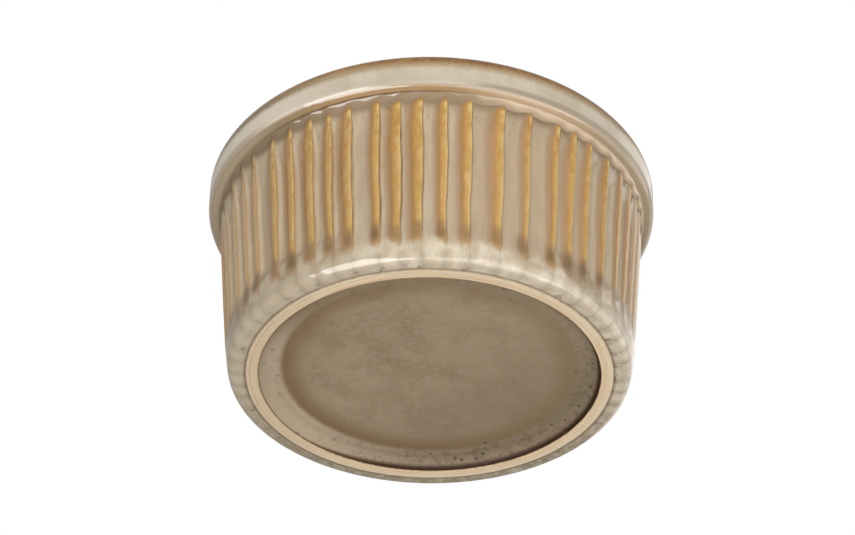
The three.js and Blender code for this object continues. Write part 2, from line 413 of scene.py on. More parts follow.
def crest_wander(height):
    """How far each crest strays to one side, in millimetres, at each height."""
    slow = np.sin(height * FULL_TURN / SLOW_WANDER_LENGTH + wander_phase[0])
    quick = np.sin(height * FULL_TURN / QUICK_WANDER_LENGTH + wander_phase[1])
    return CREST_WANDER * (slow + QUICK_WANDER_SHARE * quick)


# Rings of points round the axis

def sunk_points(rows, sunk):
    """The outline itself, or the face of the clay where it is sunk by the coat's thickness."""
    return rows[:, :2] - sunk * rows[:, 2:]


def ring_points(radius, height, angle):
    return np.stack([radius * np.cos(angle), radius * np.sin(angle), height], axis=2)


def plain_rings(rows, sunk, angles):
    """A part of the outline that has no ribs."""
    points = sunk_points(rows, sunk)
    shape = (len(points), len(angles))
    radius = np.broadcast_to(points[:, :1], shape)
    height = np.broadcast_to(points[:, 1:], shape)
    return ring_points(radius, height, np.broadcast_to(angles, shape))


def ribbed_rings(columns, parts, sunk):
    """The outside with its ribs, from the foot ring up to the crest of the rim."""
    wall, fillet, under, face = parts
    points = np.vstack([sunk_points(part, sunk) for part in parts])
    height = points[:, 1:]
    fade = np.concatenate([np.ones(len(wall)), fillet[:, 2], np.zeros(len(under) + len(face))])[:, None]
    wave = crest_wave(columns)
    soft = smooth_step(fillet_foot - RIB_SOFT_HEIGHT, fillet_foot, height)
    rise = columns["rise"] * (1 - soft) + (RIB_SOFT_LEVEL + RIB_SOFT_WAVE * wave) * soft
    relief = RIB_RELIEF * smooth_step(RIB_TIP_HEIGHT, RIB_FULL_HEIGHT, height)
    lobes = LOBE_DEPTH * smooth_step(LOBE_TOP, LOBE_FULL, height)
    radius = points[:, :1] - (relief * (1 - rise) * fade + lobes * wave)
    stray = from_crest_to_crest(crest_wander(height) * fade, columns)
    angle = columns["angle"] + stray / radius
    return ring_points(radius, np.broadcast_to(height, radius.shape), angle)


# What the glaze does on the outside, and where shade is painted on it: one value from 0 to 1 per vertex

def stripe_thinness(columns, height):
    """1 where the glaze is thinnest, on the line of a crest, and 0 in the grooves and past its ends."""
    left, right, crest = columns["left"], columns["right"], columns["next"]
    across = wall_top * np.cos(columns["angle"])
    top_narrowing = TOP_NARROWING + TOP_NARROWING_ASIDE * smooth_step(*ASIDE_PLACES, np.abs(across))
    width = stripe_width[crest] * (1 - LOW_NARROWING * smooth_step(*LOW_NARROWING_HEIGHTS, height))
    width = width * (1 - RIGHT_NARROWING * smooth_step(*RIGHT_NARROWING_PLACES, across))
    width = width * (1 - top_narrowing * smooth_step(*TOP_NARROWING_HEIGHTS, height))
    higher = smooth_step(*DROP_THINNING_HEIGHTS, height)
    drop_thinning = DROP_THINNING_LOW + (DROP_THINNING - DROP_THINNING_LOW) * higher
    aside = np.minimum(left / width, drop_thinning * right)
    above = STRIPE_END_SHARPNESS * np.maximum(0, height - stripe_top[crest])
    return np.clip(1 - np.sqrt(aside ** 2 + above ** 2) / THIN_REACH, 0, 1)


def tip_blob(aside, above_foot, crest):
    """A round patch left of the foot of a crest, longer upwards than downwards."""
    up = above_foot - TIP_ABOVE_FOOT
    up = up / np.where(up > 0, TIP_REACH_UP, TIP_REACH_DOWN)
    aside = (aside + TIP_ASIDE) / tip_width[crest]
    return smooth_step(1, TIP_CORE, np.sqrt(aside ** 2 + up ** 2)) * tip_strength[crest]


def collar_rows(parts):
    """One value per row for the collar's underside, and one for the crease between it and the wall."""
    wall, fillet, under, face = parts
    underside = np.concatenate([
        np.zeros(len(wall) + len(fillet)),
        np.ones(len(under)),
        smooth_step(*UNDERSIDE_END, face[:, 1] - collar_bottom),
    ])
    crease = np.concatenate([
        np.zeros(len(wall)),
        smooth_step(*CREASE_TURN, fillet[:, 2]),
        smooth_step(1, 0, np.linspace(0, 1, len(under))),
        np.zeros(len(face)),
    ])
    return underside[:, None], crease[:, None]


def glaze_masks(columns, parts):
    height = np.vstack(parts)[:, 1:2]
    left, right = columns["left"], columns["right"]
    crest, rib = columns["next"], columns["rib"]
    above_foot = height - from_crest_to_crest(stripe_foot, columns)
    pool_arch = np.sin(math.pi * columns["share"] ** POOL_SKEW)
    pool_top = (POOL_RISE + pool_height[rib]) * pool_arch - POOL_BELOW_FOOT
    # A painted shadow on the drop face just right of each crest
    line = smooth_step(LINE_WIDTH, LINE_CORE, np.abs(right - LINE_PLACE))
    line = line * smooth_step(*LINE_FOOT_FADE, above_foot)
    cleft = smooth_step(CLEFT_WIDTH, CLEFT_CORE, np.minimum(left, right))
    cleft = cleft * (CLEFT_FAINTEST + (1 - CLEFT_FAINTEST) * stripe_tone[crest])
    # The glaze's edge at the tops of the grooves, with painted shade below it
    from_scallop = height - SCALLOP_HEIGHT - SCALLOP_RISE * columns["rise"]
    scallop = smooth_step(-SCALLOP_FADE, 0, from_scallop) * smooth_step(SCALLOP_WIDTH, 0, from_scallop)
    underside, crease = collar_rows(parts)
    masks = {
        "thin": stripe_thinness(columns, height),
        "low": smooth_step(*STRIPE_FADE, above_foot),
        # The smudge left of each rib's foot: partly glaze, partly painted shade
        "tip": np.maximum(tip_blob(-left, above_foot, crest), tip_blob(right, above_foot, rib)),
        "tone": stripe_tone[crest],
        "pool": smooth_step(POOL_SOFTNESS, -POOL_SOFTNESS, above_foot - pool_top),
        "line": line * smooth_step(*LINE_TOP_FADE, height - stripe_top[rib]),
        "cleft": cleft * smooth_step(*CLEFT_FADE, above_foot),
        # Painted shade in the valleys between the lobes
        "valley": lobe_valley(columns) * smooth_step(*VALLEY_HEIGHTS, height),
        "scallop": scallop,
        "under": underside,
        "crease": crease,
    }
    shape = (len(height), len(crest))
    return {name: np.broadcast_to(values, shape) for name, values in masks.items()}


# Meshes

def add_piece(name, rings, replaced, material, poles=None, masks=None):
    """A closed mesh from rings of vertices. With poles it ends in two points on the axis, else it loops."""
    row_count, column_count = rings.shape[:2]
    index = np.arange(row_count * column_count).reshape(row_count, column_count)
    beside = np.roll(index, -1, axis=1)
    corners = [index, beside, np.roll(beside, -1, axis=0), np.roll(index, -1, axis=0)]
    if poles is not None:
        corners = [corner[:-1] for corner in corners]
    faces = np.stack(corners, axis=2).reshape(-1, 4).tolist()
    vertices = rings.reshape(-1, 3)
    if poles is not None:
        first, last = len(vertices), len(vertices) + 1
        vertices = np.vstack([vertices, [[0, 0, height] for height in poles]])
        faces += [(first, right, left) for left, right in zip(index[0].tolist(), beside[0].tolist())]
        faces += [(left, right, last) for left, right in zip(index[-1].tolist(), beside[-1].tolist())]
    mesh = bpy.data.meshes.new(name)
    mesh.from_pydata((vertices * MM).tolist(), [], faces)
    mesh.shade_smooth()
    for mask, values in (masks or {}).items():
        attribute = mesh.attributes.new(mask, "FLOAT", "POINT")
        attribute.data.foreach_set("value", values.astype(np.float32).ravel())
    mesh.materials.append(material)
    piece = bpy.data.objects.new(name, mesh)
    bpy.context.scene.collection.objects.link(piece)
    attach(piece, "root")
    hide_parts(replaced)


def add_outer_glaze(material):
    columns = rib_columns(FINE_DROP, FINE_RAMP)
    parts = outside_parts(FINE)
    front = ribbed_rings(columns, parts, 0)
    scallop = EDGE_SCALLOP * lobe_valley(columns) ** 2
    for row, share in enumerate(EDGE_SCALLOP_ROWS):
        front[row, :, :2] *= (1 + share * scallop / foot_outer)[:, None]
    back = ribbed_rings(columns, outside_parts(COARSE), GLAZE_THICKNESS)[::-1]
    unmarked = np.zeros(back.shape[:2])
    masks = {name: np.vstack([values, unmarked]) for name, values in glaze_masks(columns, parts).items()}
    rings = np.vstack([front, back])
    add_piece("outer_glaze_coat", rings, "outer_glaze", material, masks=masks)


def add_inner_glaze(material):
    angles = plain_angles()
    back = plain_rings(inside_outline(COARSE), GLAZE_THICKNESS, angles)[::-1]
    front = plain_rings(inside_outline(FINE), 0, angles)
    poles = (floor_top - GLAZE_THICKNESS, floor_top)
    rings = np.vstack([back, front])
    add_piece("inner_glaze_coat", rings, "inner_glaze", material, poles)


def add_base_glaze(material):
    angles = plain_angles()
    front = plain_rings(base_outline(FINE), 0, angles)
    back = plain_rings(base_outline(COARSE)[:-1], GLAZE_THICKNESS, angles)[::-1]
    poles = (RECESS_DEPTH, RECESS_DEPTH + GLAZE_THICKNESS)
    rings = np.vstack([front, back])
    add_piece("base_glaze_coat", rings, "base_glaze", material, poles)


def add_clay_body(material):
    columns = rib_columns(COARSE_DROP, COARSE_RAMP)
    angles = columns["angle"]
    base = plain_rings(base_outline(COARSE)[:-1], GLAZE_THICKNESS, angles)
    foot = plain_rings(foot_outline(FINE), 0, angles)
    outside = ribbed_rings(columns, outside_parts(COARSE), GLAZE_THICKNESS)
    inside = plain_rings(inside_outline(COARSE), GLAZE_THICKNESS, angles)
    poles = (RECESS_DEPTH + GLAZE_THICKNESS, floor_top - GLAZE_THICKNESS)
    rings = np.vstack([base, foot, outside[1:], inside[1:]])
    add_piece("fired_clay_body", rings, "stoneware_body", material, poles)


# Colours

def colour(red, green, blue):
    """A colour as a screen shows it, from 0 to 255, in linear light."""
    shares = [value / 255 for value in (red, green, blue)]
    linear = [s / 12.92 if s <= 0.04045 else ((s + 0.055) / 1.055) ** 2.4 for s in shares]
    return (*linear, 1)


GROOVE_PALE = colour(198, 181, 153)
GROOVE_GREY = colour(188, 168, 139)
GROOVE_BROWN = colour(182, 157, 127)
GROOVE_PINK = colour(190, 166, 142)
GROOVE_SPECK = colour(128, 104, 76)
FLANK_BROWN = colour(172, 142, 107)
FLANK_PINK = colour(194, 146, 106)
OCHRE_DARK = colour(168, 128, 78)
AMBER_BROWN = colour(186, 138, 76)
AMBER = colour(201, 157, 89)
AMBER_WARM = colour(206, 167, 102)
AMBER_LIGHT = colour(215, 180, 120)
AMBER_DEEP = colour(186, 131, 58)
AMBER_OLIVE = colour(196, 162, 86)
# A painted highlight at the top of each stripe
AMBER_HIGHLIGHT_CAP = colour(228, 196, 120)
TIP_TAN = colour(170, 138, 96)
# Partly glaze and partly painted shade
TIP_BROWN_AND_SHADE = colour(124, 96, 66)
STAIN_BROWN = colour(156, 131, 100)
# Painted shadow on the drop beside each crest
DROP_SHADOW_OLIVE = colour(106, 82, 42)
# Painted shade at the tops of the grooves under the collar
SCALLOP_SHADE_OLIVE = colour(136, 116, 84)
BELLY_PALE = colour(224, 210, 187)
BELLY_GREY = colour(200, 183, 157)
# Painted shade in the lobes' valleys and on the left of the belly
BELLY_SHADE_GREY = colour(163, 147, 122)
CLEFT_BROWN = colour(138, 120, 94)
# The glaze's thin edge by the foot ring with painted shade, and painted shade low on the far side
EDGE_GREY_AND_SHADE = colour(146, 131, 107)
# Crawled glaze near the ring, and a painted shadow along the glaze's edge on the far side
CRAWL_AND_SHADOW_BROWN = colour(112, 93, 64)
# Painted shade under the collar at the left
WALL_TOP_SHADE = colour(122, 104, 78)
WALL_TOP_GREY = colour(162, 139, 111)
WALL_TOP_PALE = colour(199, 175, 146)
# Painted light on the collar's face at the sides
COLLAR_PAINTED_LIGHT = colour(236, 223, 203)
COLLAR_PALE = colour(213, 200, 178)
COLLAR_GREY = colour(202, 187, 163)
COLLAR_COOL = colour(188, 177, 158)
COLLAR_SHADE = colour(131, 111, 84)
# Underside of the collar: painted shade at the left end and at the sides, a painted reflection at the right
UNDER_SHADE = colour(122, 103, 78)
UNDER_TAN = colour(171, 139, 98)
UNDER_SHEEN = colour(190, 163, 130)
UNDER_SIDE_SHADE = colour(166, 148, 121)
# The crease under the collar: brown glaze with painted shade
CREASE_SHADE_BROWN = colour(98, 73, 44)
RIM_AMBER = colour(133, 85, 29)
RIM_HONEY = colour(180, 132, 60)
RIM_FLANK = colour(176, 151, 114)
PINHOLE = colour(80, 64, 48)
INSIDE_PALE = colour(209, 195, 171)
INSIDE_GREY = colour(194, 178, 152)
BASE_TAUPE = colour(158, 138, 112)
BASE_BROWN = colour(141, 121, 95)
# Painted shade on the back right of the base
BASE_SHADE = colour(130, 111, 87)
BASE_GREY = colour(166, 148, 126)
BASE_EDGE = colour(112, 84, 52)
# Pooled glaze inside the step, with painted shade
BASE_STEP_POOL_AND_SHADE = colour(124, 101, 70)
# The cove round the recess: painted light, and painted shade at the back right; the light tone is also the
# pale grain
BASE_GRAIN_AND_LIT_COVE = colour(176, 157, 133)
BASE_COVE_SHADE = colour(131, 115, 94)
BASE_STAIN = colour(98, 81, 61)
# Dark glaze edge in the corner by the foot ring, with painted shade, wider on the far side
BASE_CORNER_SHADE = colour(52, 27, 8)
CLAY_PEACH = colour(213, 181, 142)
CLAY_PALE = colour(227, 203, 168)
CLAY_CREAM = colour(222, 204, 176)
CLAY_DIM = colour(201, 176, 144)
CLAY_GREY = colour(148, 126, 96)
CLAY_SPECK = colour(152, 122, 90)
FLOOR_COLOUR = colour(240, 239, 236)


# Materials

class Finish:
    """Builds one material, one node per call. Sockets are given as values or as other nodes' outputs.

    A share is a value from 0 to 1. Lengths in the calls are in millimetres.
    """

    def __init__(self, name):
        self.material = bpy.data.materials.new(name)
        self.material.use_nodes = True
        self.tree = self.material.node_tree
        self.surface = self.tree.nodes["Principled BSDF"]
        self.place = self.node("ShaderNodeTexCoord", {}).outputs["Object"]
        self.axes = self.node("ShaderNodeSeparateXYZ", {"Vector": self.place}).outputs
        flat = self.node("ShaderNodeCombineXYZ", {"X": self.axes["X"], "Y": self.axes["Y"]}).outputs[0]
        length = self.node("ShaderNodeVectorMath", {0: flat}, operation="LENGTH")
        self.radius = length.outputs["Value"]

    def node(self, kind, inputs, **settings):
        made = self.tree.nodes.new(kind)
        for name, value in settings.items():
            setattr(made, name, value)
        for name, value in inputs.items():
            self.feed(made.inputs[name], value)
        return made

    def feed(self, socket, value):
        if isinstance(value, bpy.types.NodeSocket):
            self.tree.links.new(value, socket)
        else:
            socket.default_value = value

    def set(self, name, value):
        self.feed(self.surface.inputs[name], value)

    def mask(self, name):
        return self.node("ShaderNodeAttribute", {}, attribute_name=name).outputs["Fac"]

    def combine(self, operation, first, second=0.0, clamp=False):
        inputs = {0: first, 1: second}
        return self.node("ShaderNodeMath", inputs, operation=operation, use_clamp=clamp).outputs[0]

    def plus(self, first, second):
        return self.combine("ADD", first, second)

    def minus(self, first, second):
        return self.combine("SUBTRACT", first, second)

    def larger(self, first, second):
        return self.combine("MAXIMUM", first, second)

    def times(self, first, *others):
        for other in others:
            first = self.combine("MULTIPLY", first, other)
        return first

    def between(self, share, least, most):
        """The least value where the share is 0 and the most where it is 1."""
        return self.plus(self.times(share, most - least), least)

    def swing(self, noise, size):
        """A noise from 0 to 1 made to swing by half the given size to both sides of 0."""
        return self.times(self.minus(noise, 0.5), size)

    def step(self, value, low, high):
        """0 at low and 1 at high, smooth between them."""
        inputs = {"Value": value, "From Min": low, "From Max": high}
        made = self.node("ShaderNodeMapRange", inputs, interpolation_type="SMOOTHSTEP")
        return made.outputs["Result"]

    def reach(self, length, start, full):
        """0 and 1 at two values of a length."""
        return self.step(length, start * MM, full * MM)

    def across(self, start, full):
        """0 and 1 at two places to the right of the middle."""
        return self.reach(self.axes["X"], start, full)

    def back(self, start, full):
        """0 and 1 at two places behind the middle."""
        return self.reach(self.axes["Y"], start, full)

    def up(self, start, full):
        """0 and 1 at two heights."""
        return self.reach(self.axes["Z"], start, full)

    def outward(self, start, full):
        """0 and 1 at two distances from the axis."""
        return self.reach(self.radius, start, full)

    def slanting(self, right, behind, start, full):
        """0 and 1 at two places along a line that runs right and back, by the given weights."""
        along = self.plus(self.times(self.axes["X"], right), self.times(self.axes["Y"], behind))
        return self.reach(along, start, full)

    def mix(self, share, first, second):
        made = self.node("ShaderNodeMix", {0: share, 6: first, 7: second}, data_type="RGBA")
        return made.outputs[2]

    def tint(self, shade, tone, *shares, strength=1.0):
        """A shade turned to a tone by the product of the shares and the strength."""
        return self.mix(self.times(*shares, strength), shade, tone)

    def stretched(self, across, upright):
        """The place with lengths divided by a size across and a size upright."""
        scale = (1 / (across * MM), 1 / (across * MM), 1 / (upright * MM))
        inputs = {0: self.place, 1: scale}
        return self.node("ShaderNodeVectorMath", inputs, operation="MULTIPLY").outputs[0]

    def noise(self, across, upright=None, detail=3.0, rough=0.55):
        place = self.stretched(across, upright or across)
        inputs = {"Vector": place, "Scale": 1.0, "Detail": detail, "Roughness": rough}
        return self.node("ShaderNodeTexNoise", inputs).outputs["Fac"]

    def patches(self, across, upright=None, *, low, high, **grain):
        """Patches of a size across and a size upright, 0 where a noise is low and 1 where it is high."""
        return self.step(self.noise(across, upright, **grain), low, high)

    def dots(self, apart, size, share):
        """Small scattered dots of a size, 1 in a dot, at a share of the places that lie apart."""
        cells = self.node("ShaderNodeTexVoronoi", {"Vector": self.stretched(apart, apart), "Scale": 1.0})
        edge = size / apart
        core = 0.6 * edge
        near = self.step(cells.outputs["Distance"], edge, core)
        pick = self.node("ShaderNodeSeparateColor", {"Color": cells.outputs["Color"]}).outputs[0]
        return self.times(near, self.combine("LESS_THAN", pick, share))

    def ramp(self, value, *stops):
        made = self.node("ShaderNodeValToRGB", {"Fac": value})
        elements = made.color_ramp.elements
        while len(elements) < len(stops):
            elements.new(0.5)
        for element, (place, shade) in zip(elements, stops):
            element.position = place
            element.color = shade
        return made.outputs["Color"]

    def bump(self, height, depth):
        made = self.node("ShaderNodeBump", {"Height": height, "Strength": 1.0, "Distance": depth * MM})
        self.set("Normal", made.outputs["Normal"])


def rib_shade(make):
    """Pale grooves, brown flanks and amber stripes where the glaze runs thin, with painted shade and
    highlight.
    """
    thin = make.plus(make.mask("thin"), make.swing(make.noise(1.0, 3.0), 0.18))
    in_stripe = make.step(thin, 0.0, 0.26)
    on_slope = make.times(make.step(thin, 0.02, 0.3), make.step(thin, 0.58, 0.44))
    on_flank = make.times(make.step(thin, 0.3, 0.5), make.step(thin, 0.72, 0.56))
    by_crest = make.step(thin, 0.3, 0.6)
    off_crest = make.step(thin, 0.6, 0.4)
    on_crest = make.step(thin, 0.57, 0.74)
    on_ridge = make.step(thin, 0.74, 0.9)
    right_side = make.across(*RIGHT_SIDE)
    right_half = make.across(0, 12)
    right_middle = make.times(make.across(2, 10), make.across(34, 24))
    off_left = make.across(-26, -8)
    left_end = make.across(-16, -32)
    far_left = make.across(-28, -42)
    upper_half = make.up(22, 35)
    upper_end = make.up(28, 34)
    stripe_cap = make.up(33.4, 34.8)
    wall_end = make.up(34.2, 36)
    streaks = make.patches(1.4, 9.0, low=0.35, high=0.65)
    groove = make.mix(streaks, GROOVE_GREY, GROOVE_PALE)
    pink = make.patches(3.0, 9.0, low=0.5, high=0.65)
    groove = make.tint(groove, GROOVE_PINK, pink, strength=0.5)
    groove = make.tint(groove, GROOVE_BROWN, right_middle, strength=0.5)
    stripe = make.ramp(thin, (0.2, GROOVE_BROWN), (0.38, FLANK_BROWN), (0.52, OCHRE_DARK),
                       (0.63, AMBER_BROWN), (0.75, AMBER), (0.88, AMBER_WARM), (0.97, AMBER_LIGHT))
    shade = make.mix(in_stripe, groove, stripe)
    blush = make.patches(3.0, 7.0, low=0.38, high=0.6)
    shade = make.tint(shade, FLANK_PINK, blush, on_flank, right_half, strength=0.7)
    shade = make.tint(shade, FLANK_BROWN, on_slope, right_side, strength=0.7)
    olive = make.patches(3.0, 6.0, low=0.45, high=0.6)
    shade = make.tint(shade, AMBER_OLIVE, olive, make.mask("tone"), on_crest)
    mottle = make.patches(1.2, 2.2, low=0.42, high=0.66, detail=4.0)
    deeper_above = make.between(upper_half, 0.3, 0.85)
    shade = make.tint(shade, AMBER_DEEP, deeper_above, mottle, on_crest)
    pale = make.patches(1.6, 4.5, low=0.52, high=0.7, detail=4.0)
    shade = make.tint(shade, AMBER_LIGHT, pale, on_crest, strength=0.6)
    # A painted highlight at the top of each stripe
    shade = make.tint(shade, AMBER_HIGHLIGHT_CAP, stripe_cap, on_ridge, strength=0.8)
    smudges = make.patches(0.6, 1.3, low=0.6, high=0.7, detail=2.0)
    shade = make.tint(shade, GROOVE_SPECK, smudges, upper_end, off_crest, strength=0.5)
    shade = make.tint(shade, TIP_TAN, make.mask("low"), by_crest, strength=0.85)
    # The band at the top of the wall: painted shade under the collar at the left, paler towards the right
    top = make.mix(right_side, WALL_TOP_GREY, WALL_TOP_PALE)
    top = make.tint(top, WALL_TOP_SHADE, left_end, strength=0.7)
    shade = make.tint(shade, top, wall_end, off_crest)
    # Painted shade at the tops of the grooves, stronger towards the right
    stronger_right = make.between(right_side, 0.4, 0.9)
    shade = make.tint(shade, SCALLOP_SHADE_OLIVE, make.mask("scallop"), off_crest, stronger_right)
    # A painted shadow on the drop just right of each crest, stronger towards the right
    uneven = make.patches(0.9, 5.0, low=0.36, high=0.6)
    line = make.times(make.mask("line"), uneven, make.between(right_side, 0.7, 0.9))
    shade = make.tint(shade, DROP_SHADOW_OLIVE, line, off_left)
    return make.tint(shade, GROOVE_PINK, far_left, by_crest, strength=0.5)


def belly_shade(make, shade):
    """The pale pool of glaze below the ribs, with smudges at the ribs' feet, crawls and painted shade."""
    left_side = make.across(-2, -26)
    right_side = make.across(*RIGHT_SIDE)
    right_end = make.across(16, 32)
    aside = make.reach(make.combine("ABSOLUTE", make.axes["X"]), 12, 21)
    stain_band = make.times(make.up(1.5, 3.5), make.up(9, 6.5))
    low_behind = make.times(make.back(0, 28), make.up(9, 3))
    at_edge = make.outward(foot_outer + 0.75, foot_outer + 0.2)
    near_edge = make.outward(foot_outer + 2.6, foot_outer + 0.7)
    edge_behind = make.times(make.back(0, 20), at_edge)
    valley = make.mask("valley")
    clouds = make.patches(2.6, 5.0, low=0.35, high=0.68)
    # Towards the left the belly has fewer pale clouds and more grey: painted shade
    belly = make.tint(BELLY_GREY, BELLY_PALE, clouds, make.between(left_side, 1.0, 0.4))
    belly = make.tint(belly, BELLY_SHADE_GREY, left_side, strength=0.3)
    pool = make.plus(make.mask("pool"), make.swing(make.noise(0.9, 1.6), 0.6))
    shade = make.mix(make.step(pool, 0.15, 0.85), shade, belly)
    stains = make.patches(6.0, 5.0, low=0.42, high=0.56, detail=2.0)
    shade = make.tint(shade, STAIN_BROWN, stains, aside, stain_band, strength=0.65)
    # Smudges at the foot of each rib: partly glaze, partly painted shade
    smudges = make.patches(0.8, 2.0, low=0.15, high=0.5, detail=4.0)
    shade = make.tint(shade, TIP_BROWN_AND_SHADE, make.mask("tip"), smudges, strength=0.9)
    broken = make.patches(1.3, low=0.36, high=0.6)
    stronger_right = make.between(right_side, 0.45, 0.85)
    shade = make.tint(shade, CLEFT_BROWN, make.mask("cleft"), broken, stronger_right)
    # Painted shade in the valleys between the lobes
    hazy = make.patches(1.3, low=0.2, high=0.6)
    shade = make.tint(shade, BELLY_SHADE_GREY, valley, hazy, strength=0.6)
    # Painted shade low on the far side of the belly
    uneven = make.between(make.patches(1.8, low=0.4, high=0.6), 0.6, 1.0)
    shade = make.tint(shade, EDGE_GREY_AND_SHADE, low_behind, uneven)
    # The glaze's thin grey edge by the foot ring, with painted shade
    shade = make.tint(shade, EDGE_GREY_AND_SHADE, at_edge, strength=0.75)
    # Crawled glaze near the ring, and a painted shadow along the glaze's edge on the far side
    more_at_right = make.times(right_end, 0.04)
    spots = make.step(make.plus(make.noise(1.6, detail=2.0), more_at_right), 0.54, 0.68)
    crawls = make.times(spots, near_edge, make.step(valley, 0.1, 0.6), 0.65)
    return make.tint(shade, CRAWL_AND_SHADOW_BROWN, make.larger(crawls, make.times(edge_behind, 0.6)))


def rim_tone(make, more_honey=0.0):
    """Amber with patches of honey, where the glaze runs thin on the rim."""
    honey = make.times(make.patches(1.4, low=0.45, high=0.7, detail=4.0), 0.6)
    return make.mix(make.plus(honey, more_honey), RIM_AMBER, RIM_HONEY)


def collar_shade(make, shade):
    """The plain collar, amber at the rim, its underside and crease, with painted light and shade on them.
    """
    in_front = make.back(-24, -40)
    clouds = make.patches(4.5, 9.0, low=0.3, high=0.7)
    collar = make.mix(clouds, COLLAR_GREY, COLLAR_PALE)
    cool = make.times(make.patches(1.6, 1.3, low=0.5, high=0.72, detail=4.0), 0.5)
    low = make.times(make.up(collar_bottom + 3.4, collar_bottom + 1.2), 0.35)
    collar = make.tint(collar, COLLAR_COOL, make.larger(cool, low))
    # Painted light on the collar's face: strong at the left, a weak painted highlight at the far right
    lit_left = make.times(make.across(-12, -37), 0.9)
    lit_right = make.times(make.across(26, 36), 0.35)
    collar = make.tint(collar, COLLAR_PAINTED_LIGHT, make.larger(lit_left, lit_right))
    dim_left = make.times(make.across(-28, -38), 0.6)
    dim_right = make.times(make.across(4, 16), 0.75)
    edge_band = make.up(collar_bottom + 1.9, collar_bottom + 0.9)
    collar = make.tint(collar, COLLAR_SHADE, edge_band, make.larger(dim_right, dim_left))
    shade = make.mix(make.up(collar_bottom + 0.1, collar_bottom + 0.7), shade, collar)
    # Underside: painted shade at the left end and at the sides, a painted reflection at the right
    under_width = 80 * MM
    from_left_to_right = make.plus(make.times(make.axes["X"], 1 / under_width), 0.5)
    under = make.ramp(from_left_to_right, (0.06, UNDER_SHADE), (0.26, UNDER_TAN), (0.54, UNDER_TAN),
                      (0.68, UNDER_SHEEN))
    under = make.mix(in_front, UNDER_SIDE_SHADE, under)
    shade = make.mix(make.mask("under"), shade, under)
    # The crease: brown glaze with painted shade, strongest in front and towards the left
    shade = make.tint(shade, CREASE_SHADE_BROWN, make.mask("crease"), in_front, make.across(18, -14))
    ragged = make.plus(make.axes["Z"], make.swing(make.noise(0.7, 1.6), 0.8 * MM))
    flank = make.tint(RIM_FLANK, COLLAR_SHADE, make.across(-18, -34), strength=0.7)
    shade = make.mix(make.reach(ragged, *RIM_FLANK_HEIGHTS), shade, flank)
    ragged = make.plus(ragged, make.times(make.across(-4, -24), -0.4 * MM))
    rim = rim_tone(make, make.times(make.across(10, -26), 0.4))
    return make.mix(make.reach(ragged, *RIM_AMBER_HEIGHTS), shade, rim)


def outer_glaze_finish():
    make = Finish("outer_glaze_finish")
    shade = collar_shade(make, belly_shade(make, rib_shade(make)))
    holes = make.dots(apart=6.0, size=0.25, share=0.12)
    make.set("Base Color", make.tint(shade, PINHOLE, holes, strength=0.7))
    make.set("Roughness", make.between(make.noise(0.7, 1.6), 0.05, 0.11))
    make.set("IOR", 1.55)
    waves = make.noise(2.6, 3.4, detail=2.0)
    make.bump(make.minus(waves, make.times(holes, 0.6)), depth=0.06)
    return make.material


def inner_glaze_finish():
    make = Finish("inner_glaze_finish")
    fine = make.noise(0.8)
    shade = make.mix(make.patches(7.0, low=0.3, high=0.7), INSIDE_GREY, INSIDE_PALE)
    ragged = make.plus(make.axes["Z"], make.swing(fine, 1.6 * MM))
    shade = make.mix(make.reach(ragged, *INSIDE_AMBER_HEIGHTS), shade, rim_tone(make))
    holes = make.dots(apart=6.0, size=0.3, share=0.15)
    make.set("Base Color", make.tint(shade, PINHOLE, holes, strength=0.8))
    make.set("Roughness", make.between(fine, 0.1, 0.2))
    make.set("IOR", 1.52)
    make.bump(make.noise(3.0, detail=2.0), depth=0.08)
    return make.material


